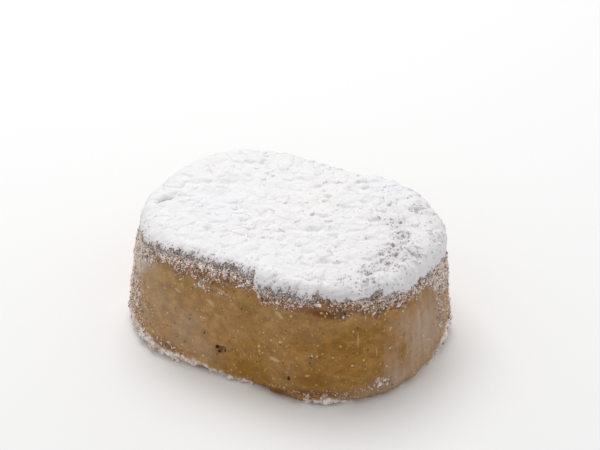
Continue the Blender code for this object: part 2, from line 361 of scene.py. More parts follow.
# Almond slivers that show in the wall: angle, height, length, width, lean in degrees
SLIVERS = (
    (-95.5, 16.6, 3.9, 0.6, -9),
    (-101.5, 13.9, 2.3, 0.7, -22),
    (-64, 15.9, 2.0, 0.65, -34),
    (-65.2, 7.4, 2.1, 0.8, -8),
    (-85, 10.4, 0.8, 0.4, 70),
    (-118, 14.3, 1.4, 0.5, -15),
    (-75, 14.4, 0.7, 0.3, 80),
    (-34.6, 12.5, 3.8, 0.2, 88),
    (-28, 9.4, 2.2, 0.2, 91),
    (-31.5, 16.2, 1.6, 0.24, 90),
    (-52, 6.0, 0.8, 0.4, 20),
    (-22, 12.8, 0.9, 0.45, 60),
    (48, 12.0, 1.8, 0.6, 20),
    (97, 6.5, 2.4, 0.6, -15),
    (146, 11.0, 1.6, 0.6, 30),
    (-176, 6.0, 1.8, 0.5, 10),
)

# Traits that go on over the cake's base and top, hidden from view: value below, value above
AT_BASE_AND_TOP = {
    "dust": (0.2, 1.0),
    "crumbly": (0.3, 1.0),
    "rim": (0.6, 0.0),
    "sliver": (-1.0, -1.0),
    "haze": (0.6, 0.0),
    "amber": (0.3, 0.3),
}

# What the scattering of grains is told, each with its kind of value
STREW_INPUTS = (
    ("Surface", "Geometry"),
    ("Shapes", "Collection"),
    ("Where", "String"),
    ("Grains in each square mm", "Float"),
    ("Smallest", "Float"),
    ("Largest", "Float"),
    ("Share above the surface", "Float"),
    ("Lie flat", "Bool"),
    ("Tilt", "Float"),
    ("Seed", "Int"),
    ("Finish", "Material"),
)

# Power that makes most grains small, a full turn near enough, and the seed of the grains' tones
SMALL_GRAINS = 2.2
FULL_TURN = 6.28
TONE_SEED = 77

# Table, light and air
TABLE_SIZE = 4
TABLE_GAP = 0.03 * MM
ROOM_LIGHT = 0.57
LAMP_PLACE = (-0.14, 0.14, 0.42)
LAMP_SIZE = 0.30
LAMP_POWER = 1.04

# The portrait's viewpoint, from fitting a rounded block to the photo's outline
CAMERA_AZIMUTH = 29.47
CAMERA_ELEVATION = 33.55
CAMERA_DISTANCE = 0.416
SENSOR_WIDTH = 36
FOCAL_PIXELS = 2427.25
FRAME_PIXELS = 600
AIM_HEIGHT = 10.65 * MM
AIM_RIGHT = 1.726 * MM
AIM_UP = 7.118 * MM


def bell(distance, half_width):
    """1 at distance 0, falling smoothly to nothing past about twice the half-width."""
    return np.exp(-((distance / half_width) ** 2))


def rise(value, low, high):
    """0 below low, 1 above high and a smooth slope between them."""
    share = np.clip((value - low) / (high - low), 0, 1)
    return share * share * (3 - 2 * share)


def turn_between(a, b):
    """Signed difference of two plan angles in degrees, from -180 to 180."""
    return (a - b + 180) % 360 - 180


def from_table(table, angle):
    """A value read from a table of angles."""
    angles, values = zip(*table)
    return np.interp(angle, angles, values)


def roughness(points, size, depth):
    """Fractal unevenness at each point, with lumps of about this size and depth."""
    spots = (points.reshape(-1, 3) / size).tolist()
    heights = [noise.fractal(spot, 1.0, 2.2, 3) for spot in spots]
    return depth * np.array(heights).reshape(points.shape[:-1])


def blotches(points, size, low, high, apart=0.0):
    """Uneven patches from 0 to 1. Those drawn at another distance apart don't line up."""
    return rise(roughness(points + apart, size, 1.0), low, high)


def chunks(points, size):
    """Angular clumps packed side by side, each at its own height and tilt, 0 in the creases."""
    heights = []
    for spot in (points.reshape(-1, 3) / size).tolist():
        (near, far, *_), (centre, *_) = noise.voronoi(spot)
        own = noise.noise(centre * 5.3)
        tilt_x, tilt_y = noise.noise(centre * 3.1), noise.noise(centre * 3.1 + Vector((0, 9, 0)))
        away = Vector(spot) - centre
        level = 0.7 + 0.9 * own + 1.3 * (tilt_x * away.x + tilt_y * away.y)
        crease = min((far - near) / CREASE_WIDTH, 1)
        heights.append(level * (0.5 + 0.5 * crease * (2 - crease)))
    return np.array(heights).reshape(points.shape[:-1])


def outline_at(share):
    """Point and outward direction of the top outline, a share of the way round from its +X end."""
    half_length = TOP_LENGTH / 2 - CORNER_RADIUS
    half_width = TOP_WIDTH / 2 - CORNER_RADIUS
    arc = CORNER_RADIUS * math.pi / 2
    corners = (
        (half_length, half_width, 2 * half_length),
        (-half_length, half_width, 2 * half_width),
        (-half_length, -half_width, 2 * half_length),
        (half_length, -half_width, 2 * half_width),
    )
    left = share % 1.0 * 4 * (arc + half_length + half_width)
    if left < half_width:
        return (TOP_LENGTH / 2, left, 1, 0)
    left -= half_width
    for quarter, (x, y, straight) in enumerate(corners):
        start = quarter * math.pi / 2
        turn = start + min(left, arc) / CORNER_RADIUS
        out = (math.cos(turn), math.sin(turn))
        beyond = max(left - arc, 0)
        if left < arc + straight or quarter == 3:
            x += CORNER_RADIUS * out[0] - beyond * out[1]
            y += CORNER_RADIUS * out[1] + beyond * out[0]
            return (x, y, *out)
        left -= arc + straight
    raise ValueError("share lies past the end of the outline")


OUTLINE = np.array([outline_at(step / STEPS_AROUND) for step in range(STEPS_AROUND)])
BASE = OUTLINE[:, :2]
OUT = OUTLINE[:, 2:]
ANGLE = np.degrees(np.arctan2(BASE[:, 1], BASE[:, 0]))


def swell(height):
    """How far the cake bulges outwards, by height and all the way round."""
    up = np.clip(height / HEIGHT, 0, 1)
    return MM * sum(
        bell(turn_between(ANGLE, centre), half_width) * (foot * (1 - up) + top * up)
        for centre, half_width, foot, top in SWELLS
    )


def wall_offset(height):
    """How far the wall stands out from the top outline: upright above, spread at the foot."""
    span = HEIGHT - SHOULDER_RADIUS - FOOT_RADIUS
    down = np.clip((HEIGHT - SHOULDER_RADIUS - height) / span, 0, 1)
    return FOOT_FLARE * down**FLARE_SHAPE


def across(angle, centre):
    """Distance along the wall between two plan angles, near enough for a small patch."""
    return np.radians(turn_between(angle, centre)) * MEAN_RADIUS


def patches(table, height):
    """Soft patches added up, by height and all the way round."""
    total = np.zeros(np.broadcast(height, ANGLE).shape)
    for centre, at, half_width, half_height, strength in table:
        sideways = across(ANGLE, centre) / (half_width * MM)
        upwards = (height - at * MM) / (half_height * MM)
        total += strength * np.exp(-(sideways**2) - upwards**2)
    return np.clip(total, 0, 1)


def wall_relief(points):
    """Height of the cut wall's crags and hollows above its smooth form, as its solid has it."""
    height = points[..., 2]
    body = roughness(points, 5.5 * MM, 0.16 * MM) + roughness(points, 1.7 * MM, 0.10 * MM)
    torn_foot = bell(height - 1.2 * MM, 1.5 * MM) * roughness(points, 2.3 * MM, 0.42 * MM)
    crumbly = bell(height - HEIGHT + 3.6 * MM, 1.3 * MM) * roughness(points, 1.5 * MM, 0.16 * MM)
    pits = np.zeros(height.shape)
    radius_here = np.hypot(points[..., 0], points[..., 1])
    for angle, at, radius, depth in WALL_PITS:
        sideways = np.radians(turn_between(ANGLE, angle)) * radius_here
        apart = np.hypot(sideways, height - at * MM)
        pits -= depth * MM * bell(apart, 0.75 * radius * MM)
    under_sugar = np.clip((HEIGHT - height) / (3 * MM), 0, 1)
    return (body + torn_foot + crumbly) * under_sugar + pits


def on_cake(offset, height, tilt):
    """Points on the cake's smooth side all the way round, and the way that the surface faces."""
    reach = offset + swell(height)
    points = np.empty((*reach.shape, 3))
    points[..., :2] = BASE + OUT * reach[..., None]
    points[..., 2] = height
    facing = np.empty(points.shape)
    facing[..., :2] = OUT * np.sin(tilt)[..., None]
    facing[..., 2] = np.cos(tilt)
    return points, facing


def side_stations():
    """Stations up the cake's side, as offset, height and tilt."""
    curl = np.linspace(math.pi, math.pi / 2, FOOT_STEPS + 1)
    foot = (FOOT_FLARE - FOOT_RADIUS * (1 - np.sin(curl)), FOOT_RADIUS * (1 + np.cos(curl)), curl)
    height = np.linspace(FOOT_RADIUS, HEIGHT - SHOULDER_RADIUS, WALL_STEPS + 1)[1:]
    wall = (wall_offset(height), height, np.full(WALL_STEPS, math.pi / 2))
    shoulder = shoulder_at(np.linspace(math.pi / 2, 0, SHOULDER_STEPS + 1)[1:])
    return (np.concatenate(parts)[:, None] for parts in zip(foot, wall, shoulder))


def shoulder_at(tilt):
    """Offset, height and tilt on the rounded shoulder."""
    offset = -SHOULDER_RADIUS * (1 - np.sin(tilt))
    return offset, HEIGHT - SHOULDER_RADIUS * (1 - np.cos(tilt)), tilt


def below_top(drop):
    """Offset, height and tilt at a drop below the cake's flat top."""
    on_shoulder = drop < SHOULDER_RADIUS
    tilt = np.arccos(np.clip(1 - drop / SHOULDER_RADIUS, 0, 1))
    offset = np.where(on_shoulder, shoulder_at(tilt)[0], wall_offset(HEIGHT - drop))
    return offset, HEIGHT - drop, np.where(on_shoulder, tilt, math.pi / 2)


def near_smooth_lobe():
    """How near each place round the cake lies to the sugar's smooth lobe."""
    return bell(turn_between(ANGLE, SMOOTH_LOBE_AT), SMOOTH_LOBE_WIDTH)


def lip_drop():
    """How far below the cake's top the sugar ends, all the way round: evened out, then as it is."""
    drop = np.full(STEPS_AROUND, LIP_DROP)
    for centre, clockwise, anticlockwise, extra in LIP_LOBES:
        apart = turn_between(ANGLE, centre)
        half_width = np.where(apart < 0, clockwise, anticlockwise)
        drop += extra * MM * np.exp(-((np.abs(apart) / half_width) ** 6))
    flat = np.column_stack([BASE, np.zeros(STEPS_AROUND)])
    ragged = roughness(flat, 0.8 * MM, 0.34 * MM) + roughness(flat, 0.4 * MM, 0.2 * MM)
    ragged *= 1 - 0.8 * near_smooth_lobe()
    ragged += roughness(flat, 2.1 * MM, 0.33 * MM)
    return drop, np.maximum(drop + ragged, LEAST_DROP)


def distance_to_line(points, start, end):
    """Plan distance from each point to a short line given in mm."""
    start = np.array(start) * MM
    along = np.array(end) * MM - start
    away = points[..., :2] - start
    share = np.clip(away @ along / (along @ along), 0, 1)
    return np.linalg.norm(away - share[..., None] * along, axis=-1)


def near_spot(points, x, y, radius):
    """1 over a spot in plan, given in mm, falling to 0 past about twice its radius."""
    return bell(np.hypot(points[..., 0] - x * MM, points[..., 1] - y * MM), radius * MM)


def sugar_lumps(points):
    """Height of the sugar's broad clumps, hollows and split, as its solid has them."""
    plan = points * np.array([1, 1, 0.35])
    lumps = roughness(plan, 3.6 * MM, 0.20 * MM) + roughness(plan, 1.9 * MM, 0.20 * MM)
    for x, y, radius, depth in SUGAR_HOLLOWS:
        lumps -= depth * MM * near_spot(points, x, y, 0.8 * radius)
    start, end, half_width, depth = SPLIT
    lumps -= depth * MM * bell(distance_to_line(points, start, end), half_width * MM)
    return np.maximum(lumps, -0.55 * MM)


def thin_places(points):
    """Where the sugar lies thin enough for the cake to show as dark pricks, their dark partly painted
    shade: mostly the +X end.
    """
    thin = rise(points[..., 0], 6 * MM, 22 * MM) * 0.32
    for x, y, radius, strength in THIN_SPOTS:
        thin += strength * near_spot(points, x, y, radius)
    return np.clip(thin, 0, 1) * (1 - 0.6 * rise(points[..., 0], 22.5 * MM, 25.5 * MM))


def notches(points):
    """Depth of the small notches between the sugar's clumps."""
    depth_here = np.zeros(points.shape[:-1])
    for x, y, half_length, half_width, turn, depth in SUGAR_NOTCHES:
        away_x, away_y = points[..., 0] - x * MM, points[..., 1] - y * MM
        cos, sin = math.cos(math.radians(turn)), math.sin(math.radians(turn))
        along, beside = away_x * cos + away_y * sin, away_y * cos - away_x * sin
        apart = np.hypot(along / (half_length * MM), beside / (half_width * MM))
        depth_here = np.maximum(depth_here, depth * MM * bell(apart, 1))
    return depth_here


def sugar_crust(points, soft):
    """Fine relief of the sugar, how bare it is and how thin, softer where soft is 1."""
    bent = points + roughness(points, 1.1 * MM, 0.35 * MM)[..., None]
    thin = thin_places(points)
    towards_thin_end = rise(points[..., 0], -6 * MM, 14 * MM)
    loose = 0.7 + roughness(points, 9 * MM, 0.35) + 0.7 * towards_thin_end + 0.6 * thin
    relief = 0.42 * MM * chunks(bent, 2.3 * MM) * (0.85 + 0.3 * thin)
    relief += 0.10 * MM * chunks(bent + 0.02, 1.15 * MM) * loose
    relief += roughness(points, 0.55 * MM, 0.03 * MM) * (0.5 + thin) - 0.35 * MM
    pricks = blotches(points, 0.5 * MM, 0.14, 0.42, 0.05) * rise(thin, 0.3, 1.0)
    start, end, half_width = CRACK
    crack = bell(distance_to_line(bent, start, end), half_width * MM)
    bare = np.clip(pricks + 1.5 * crack, 0, 1)
    relief -= 0.30 * MM * bare + 2.0 * notches(bent)
    return relief * (1 - 0.6 * soft), bare * (1 - soft), thin


def grid_faces(rows, columns):
    """Quads between closed rings of points, one after the other."""
    row, column = np.mgrid[0 : rows - 1, 0:columns]
    beside = (column + 1) % columns
    here, above = row * columns, (row + 1) * columns
    quads = np.stack([here + column, here + beside, above + beside, above + column], axis=-1)
    return quads.reshape(-1, 4).tolist()


def shrunk_rings(ring, steps):
    """Rings inside a flat ring, drawn in towards its middle, the last one very small."""
    shares = np.linspace(1, 0, steps + 1)[1:] ** 0.8
    shares[-1] = 0.02
    inner = ring[None] * shares[:, None, None]
    inner[..., 2] = ring[:, 2].mean()
    return inner


def mesh_object(name, points, faces, material, traits):
    """A shown object from points and faces, with its traits kept on its points."""
    points[:, :2] += SHIFT
    mesh = bpy.data.meshes.new(name)
    mesh.from_pydata(points.tolist(), [], faces)
    for trait, values in traits.items():
        mesh.attributes.new(trait, "FLOAT", "POINT").data.foreach_set("value", values.ravel())
    mesh.materials.append(material)
    mesh.shade_smooth()
    mesh.validate()
    piece = bpy.data.objects.new(name, mesh)
    bpy.context.scene.collection.objects.link(piece)
    return piece


def slivers_at(height):
    """Above 0 inside each almond sliver in the wall and below 0 outside."""
    inside = np.full(height.shape, -1.0)
    for centre, at, length, width, lean in SLIVERS:
        sideways, upwards = across(ANGLE, centre), height - at * MM
        cos, sin = math.cos(math.radians(lean)), math.sin(math.radians(lean))
        along = (sideways * cos + upwards * sin) / (length * MM / 2)
        beside = (upwards * cos - sideways * sin) / (width * MM / 2)
        inside = np.maximum(inside, 1 - np.hypot(along, beside))
    return inside


def middle_of_solids():
    """Where the solids' middle lies: the same unevenness is drawn before it is centred."""
    offset, height, tilt = side_stations()
    points, facing = on_cake(offset, height, tilt)
    points = points + facing * wall_relief(points)[..., None]
    drawn = (points.min(axis=(0, 1)) + points.max(axis=(0, 1))) / 2
    low, high = (np.array(corner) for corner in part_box("dough_block"))
    return ((low + high) / 2 - drawn)[:2]


def sugar_on_wall(smooth, height):
    """Where sugar and crumbs cling to the cake's side, each trait from 0 to 1."""
    level = smooth[..., 2]
    ragged = roughness(smooth, 2.2 * MM, 0.9 * MM) + roughness(smooth, 0.8 * MM, 0.45 * MM)

    # Grains that fell from the lip, and those in patches of their own
    whiteness = from_table(BAND_WHITENESS, ANGLE)
    below_lip = HEIGHT - lip_drop()[1] - level
    fallen = np.exp(-np.maximum(below_lip, 0) / (0.5 * MM)) * rise(whiteness, 0.1, 0.6)
    snow = np.maximum(fallen, patches(SNOWED, height))
    clots = blotches(smooth, 1.1 * MM, -0.05, 0.35, 0.3)
    stray = patches(STRAY_DUST, height) * blotches(smooth, 1.2 * MM, -0.45, 0.25)
    filmed = patches(FILMED, height) * (0.35 + 0.65 * blotches(smooth, 1.5 * MM, -0.5, 0.3, 0.4))

    # The crumbly band under the lip
    floor = from_table(BAND_FLOOR, ANGLE) * MM
    band = rise(level + ragged, floor - 0.5 * MM, floor + 0.7 * MM)
    patchy = np.clip(0.5 + roughness(smooth, 2.6 * MM, 0.9), 0, 1)
    dust = whiteness * (0.35 + 0.6 * patchy + 0.6 * clots) + 0.4 * snow
    dust = np.clip(band * dust + stray * (0.6 + 0.4 * clots), 0, 1) * (1 - 0.75 * filmed)
    crumbly = np.clip(band + 0.7 * stray, 0, 1) * (1 - 0.65 * np.clip(snow, 0, 1)) * (1 - 0.9 * filmed)
    snowy = np.maximum(band, 0.8 * stray) * rise(snow, 0.05, 0.7) * (below_lip > -0.4 * MM)
    clotted = 0.7 * band * clots * bell(level - floor - 0.5 * MM, 0.8 * MM)

    # Packed sugar at the foot
    rim_top = from_table(RIM_TOP, ANGLE) * MM
    rim = 1 - rise(level + 0.6 * ragged, rim_top - 0.5 * MM, rim_top + 0.15 * MM)
    rim *= 0.5 + 0.5 * blotches(smooth, 2.4 * MM, -0.4, 0.0, 0.1)
    rim *= 0.5 + 0.5 * blotches(smooth, 0.9 * MM, -0.3, 0.1, 0.2)
    return {
        "dust": dust,
        "crumbly": crumbly,
        "snow": snowy * (1 - 0.6 * filmed),
        "filmed": filmed,
        "stray": stray,
        "rim": rim,
        "torn": np.maximum(rim * (level > 0.3 * MM), clotted + 0.5 * stray * clots),
    }


def dressed_cake(material):
    """The pressed cake in full detail: its crumb, torn foot, caught dust and haze of sugar."""
    offset, height, tilt = side_stations()
    smooth, facing = on_cake(offset, height, tilt)
    hazy = patches(HAZE, height) * (0.85 + roughness(smooth, 3.0 * MM, 0.45))
    traits = {
        **sugar_on_wall(smooth, height),
        "sliver": slivers_at(smooth[..., 2]),
        "scraped": patches(SCRAPED, height),
        "haze": np.clip(hazy, 0, 1),
        "amber": patches(AMBER, height),
        # toasted crumb, and painted shade at the foot
        "toasted": patches(TOASTED_AND_FOOT_SHADE, height),
        # dark: painted shade inside the small pits
        "dark": patches(SHADED_PITS, height),
    }
    upright = smooth * np.array([1, 1, 0.06])
    relief = wall_relief(smooth) + roughness(smooth, 0.8 * MM, 0.04 * MM)
    relief += traits["scraped"] * roughness(upright, 0.8 * MM, 0.10 * MM)
    relief += traits["crumbly"] * (roughness(smooth, 0.6 * MM, 0.15 * MM) + 0.03 * MM)
    relief += traits["rim"] * (0.06 * MM + np.abs(roughness(smooth, 0.9 * MM, 0.32 * MM)))
    relief += 0.07 * MM * rise(traits["sliver"], 0.0, 0.5) - 0.30 * MM * traits["dark"]
    side = smooth + facing * relief[..., None]
    side[..., 2] = np.maximum(side[..., 2], 0)
    side[0, :, 2] = 0
    side[-1, :, 2] = HEIGHT
    under = shrunk_rings(side[0], CAP_STEPS)
    over = shrunk_rings(side[-1], CAP_STEPS)
    rows = np.concatenate([under[::-1], side, over])
    last = (len(rows) - 1) * STEPS_AROUND
    faces = grid_faces(len(rows), STEPS_AROUND)
    faces.append(list(range(STEPS_AROUND))[::-1])
    faces.append(list(range(last, last + STEPS_AROUND)))
    for trait, values in traits.items():
        base_value, top_value = AT_BASE_AND_TOP.get(trait, (0.0, 0.0))
        low = np.full(under.shape[:2], base_value)
        high = np.full(over.shape[:2], top_value)
        traits[trait] = np.concatenate([low, values, high])
    return mesh_object("almond_cake", rows.reshape(-1, 3), faces, material, traits)


def from_rim(points, rim):
    """Plan distance from each point to the nearest point of the rim."""
    near = np.full(len(points), np.inf)
    for edge in rim[::2]:
        near = np.minimum(near, np.hypot(points[:, 0] - edge[0], points[:, 1] - edge[1]))
    return near


def staggered_inside(rim, spacing):
    """A staggered grid of plan points inside the rim, clear of its edge."""
    reach = np.abs(rim).max(axis=0)
    rows = int(reach[1] / spacing / ROW_PITCH) + 1
    columns = int(reach[0] / spacing) + 1
    row, column = np.mgrid[-rows : rows + 1, -columns : columns + 1]
    spots = np.stack([(column + 0.5 * (row % 2)) * spacing, row * spacing * ROW_PITCH], axis=-1)
    spots = spots.reshape(-1, 2)
    inside = np.zeros(len(spots), bool)
    for a, b in zip(rim, np.roll(rim, -1, axis=0)):
        crosses = (a[1] > spots[:, 1]) != (b[1] > spots[:, 1])
        if crosses.any():
            at = a[0] + (spots[crosses, 1] - a[1]) * (b[0] - a[0]) / (b[1] - a[1])
            inside[crosses] ^= spots[crosses, 0] < at
    spots = spots[inside]
    return spots[from_rim(spots, rim) > 0.75 * spacing]


def along_side(drop):
    """Length of the cake's own surface from its flat top down to this drop."""
    round_shoulder = np.arccos(np.clip(1 - drop / SHOULDER_RADIUS, 0, 1)) * SHOULDER_RADIUS
    return round_shoulder + np.maximum(drop - SHOULDER_RADIUS, 0)


def fraying(distance, reach, points):
    """1 at the sugar's edge, falling unevenly to 0 where it lies whole."""
    uneven = distance + roughness(points, 1.3 * MM, 0.7 * MM)
    return 1 - rise(uneven, 0.35 * reach, reach)


def edge_grey_and_painted_shade(distance, angle):
    """How grey the sugar is painted towards its edge, most of all at the front left: partly the thin
    sugar's own grey, partly painted shade where it turns down.
    """
    return (0.4 + 0.6 * bell(turn_between(angle, -64), 13)) * (1 - rise(distance, 0.5 * MM, 3.6 * MM))


def tiled_top(rim, first):
    """The sugar's top inside its rim: new points in plan and faces, counted from the rim's first."""
    spots = staggered_inside(rim, TOP_SPACING)
    flat = [Vector(spot) for spot in np.concatenate([rim, spots]).tolist()]
    edges = [(step, (step + 1) % STEPS_AROUND) for step in range(STEPS_AROUND)]
    plan, _, tiles, origins, _, _ = geometry.delaunay_2d_cdt(flat, edges, [], 1, 1e-8)
    place = {
        index: first + origin[0] for index, origin in enumerate(origins) if origin[0] < STEPS_AROUND
    }
    added = [index for index in range(len(plan)) if index not in place]
    place.update({index: first + STEPS_AROUND + count for count, index in enumerate(added)})
    top = np.array([(*plan[index], HEIGHT + SUGAR_TOP) for index in added])
    return top, [[place[index] for index in tile] for tile in tiles]


def dressed_sugar(material):
    """The icing sugar in full detail: a blanket from its ragged lip over the shoulder and top."""
    even_drop, drop = lip_drop()
    level = np.linspace(0, 1, LIP_STEPS + 1)[:, None]
    here = drop * (1 - level) ** STATION_SHAPE
    offset, height, tilt = below_top(here)
    smooth, facing = on_cake(offset, height, tilt)
    cake = smooth + facing * wall_relief(smooth)[..., None]

    # How thick the sugar lies, from its lip up to the top
    from_edge = rise(drop - here, 0, 0.7 * MM)
    lip = from_table(LIP_THICKNESS, ANGLE) * MM
    share = np.clip(1 - (here / even_drop) ** (1 / STATION_SHAPE), 0, 1)
    lift = np.sqrt(from_edge) * (lip + (SUGAR_TOP - lip) * share**0.75)
    broad = sugar_lumps(cake + facing * lift[..., None]) * np.clip(share / 0.6, 0, 1)
    soft = 0.8 * near_smooth_lobe() * (1 - rise(share, 0.5, 1.0))
    crust, bare, thin = sugar_crust(smooth, soft)
    bare *= 0.2 + 0.8 * rise(share, 0.35, 0.85)
    coarse = 0.3 + 0.6 * rise(smooth[..., 0], -8 * MM, 12 * MM)
    lift = lift + broad + crust * (coarse + (1 - coarse) * rise(share, 0.4, 1.0))
    lift = np.maximum(lift, 0.05 * MM * from_edge - 0.12 * MM * (level == 0))
    outer = cake + facing * lift[..., None]
    inner_rows = np.linspace(0, LIP_STEPS, 5).astype(int)[1:][::-1]
    inner = (cake - facing * UNDER_SKIN)[inner_rows]
    inner[0, :, 2] = HEIGHT - UNDER_SKIN
    rows = np.concatenate([inner, outer])
    side_points = rows.reshape(-1, 3)
    faces = grid_faces(len(rows), STEPS_AROUND)
    faces.append(list(range(STEPS_AROUND))[::-1])

    # The top, closed inside the side's last ring
    rim = outer[-1, :, :2]
    top, tiles = tiled_top(rim, len(side_points) - STEPS_AROUND)
    faces += tiles
    flat_top = top * np.array([1, 1, 0]) + np.array([0, 0, HEIGHT])
    top_crust, top_bare, top_thin = sugar_crust(flat_top, 0)
    top[:, 2] += sugar_lumps(top) + top_crust

    # Traits: how far the edge frays and greys, and where loose clumps lie
    way_down = along_side(drop)
    from_lip = way_down - along_side(here)
    top_angle = np.degrees(np.arctan2(top[:, 1], top[:, 0]))
    over_top = np.interp(top_angle, ANGLE, way_down, period=360) + from_rim(top, rim)
    frayed = fraying(from_lip, from_table(FRAY_REACH, ANGLE) * MM, outer)
    top_frayed = fraying(over_top, from_table(FRAY_REACH, top_angle) * MM, top)
    clumpy = rise(level, 0.35, 0.8) * (1 - soft) * rise(smooth[..., 0], -30 * MM, 10 * MM)
    top_clumpy = blotches(top, 6 * MM, -0.6, 0.4) * rise(top[:, 0], -30 * MM, 10 * MM)
    # Grey: half the thinness, where the cake shows through; painted shade over the smooth front lobe,
    # which faces down; and the edge's grey, partly painted shade
    grey = np.maximum(np.maximum(0.5 * thin, 1.1 * soft), edge_grey_and_painted_shade(from_lip, ANGLE))
    top_grey = np.maximum(0.5 * top_thin, edge_grey_and_painted_shade(over_top, top_angle))
    none_inside = np.zeros(inner.shape[:2]).ravel()
    traits = {
        "bare": np.concatenate([none_inside, bare.ravel(), top_bare]),
        "edge": np.concatenate([none_inside, frayed.ravel(), top_frayed]),
        "clumpy": np.concatenate([none_inside, (clumpy * (1 - frayed)).ravel(), top_clumpy]),
        "grey": np.concatenate([none_inside, grey.ravel(), top_grey]),
    }
    return mesh_object("icing_sugar", np.concatenate([side_points, top]), faces, material, traits)


def colour(code):
    """An sRGB hex colour as the linear values a shader takes."""
    parts = [int(code[at : at + 2], 16) / 255 for at in (0, 2, 4)]
    return (*(p / 12.92 if p <= 0.04045 else ((p + 0.055) / 1.055) ** 2.4 for p in parts), 1.0)


def put(tree, kind, inputs=None, out=0, **settings):
    """Adds a node, sets its properties and gives each input a value or another node's output.

    Returns the output asked for, or all of them where out is None.
    """
    node = tree.nodes.new(kind)
    for name, value in settings.items():
        setattr(node, name, value)
    for key, value in (inputs or {}).items():
        if isinstance(value, bpy.types.NodeSocket):
            tree.links.new(value, node.inputs[key])
        else:
            node.inputs[key].default_value = value
    if out is None:
        return node.outputs
    return node.outputs[out] if len(node.outputs) else node


def new_finish(name):
    """An empty material, a way to add nodes to it, and the coordinates of its piece."""
    material = bpy.data.materials.new(name)
    material.use_nodes = True
    add = partial(put, material.node_tree)
    return material, add, add("ShaderNodeTexCoord", out="Object")


def cover(material, shown, normal, values):
    """Gives a finish its colour and bump, and sets what is the same all over."""
    tree = material.node_tree
    shader = tree.nodes["Principled BSDF"]
    tree.links.new(shown, shader.inputs["Base Color"])
    tree.links.new(normal, shader.inputs["Normal"])
    for name, value in values.items():
        shader.inputs[name].default_value = value
    return material


def clouds(add, place, size, detail, low, high, least, most):
    """Soft lumps of this size, their tones from low to high spread from a least to a most."""
    lumps = add("ShaderNodeTexNoise", {"Vector": place, "Scale": 1 / size, "Detail": detail})
    return add("ShaderNodeMapRange", {0: lumps, 1: low, 2: high, 3: least, 4: most})


def shaded(add, tone, fine, least, most):
    """A colour made darker and lighter by fine noise."""
    shade = add("ShaderNodeMapRange", {0: fine, 1: 0.3, 2: 0.7, 3: least, 4: most})
    return add("ShaderNodeVectorMath", {0: tone, "Scale": shade}, operation="SCALE")


def broken_edge(add, value, grain, strength, low, high, most):
    """A share that grows with a trait, its edge broken up by the grain."""
    broken = add("ShaderNodeMath", {0: grain, 1: strength, 2: value}, operation="MULTIPLY_ADD")
    return add("ShaderNodeMapRange", {0: broken, 1: low, 2: high, 3: 0.0, 4: most})


def layered(add, shown, *layers):
    """Colours laid one over another, each by a share times its strength."""
    for share, strength, over in layers:
        over = colour(over) if isinstance(over, str) else over
        scaled = add("ShaderNodeMath", {0: share, 1: strength}, operation="MULTIPLY")
        shown = add("ShaderNodeMix", {0: scaled, 6: shown, 7: over}, 2, data_type="RGBA")
    return shown


def pushed_about(add, place, size, reach, detail, start):
    """Coordinates pushed about unevenly, so that what is drawn on them has a ragged outline."""
    push = add("ShaderNodeTexNoise", {"Vector": place, "Scale": 1 / size, "Detail": detail}, "Color")
    push = add("ShaderNodeVectorMath", {0: push, "Scale": reach}, operation="SCALE")
    return add("ShaderNodeVectorMath", {0: start, 1: push}, operation="ADD")


def specks(add, place, spacing, size, share):
    """Ragged specks, one at most to each cell, 1 inside."""
    ragged = pushed_about(add, place, size / 3.2, 0.9 * size, 2.0, place)
    cells = add("ShaderNodeTexVoronoi", {"Vector": ragged, "Scale": 1 / spacing}, None)
    own = add("ShaderNodeSeparateColor", {0: cells["Color"]}, None)
    reach = add("ShaderNodeMath", {0: own[1], 1: size / spacing}, operation="MULTIPLY")
    inside = add("ShaderNodeMath", {0: cells["Distance"], 1: reach}, operation="LESS_THAN")
    chosen = add("ShaderNodeMath", {0: own[0], 1: share}, operation="LESS_THAN")
    return add("ShaderNodeMath", {0: inside, 1: chosen}, operation="MULTIPLY")


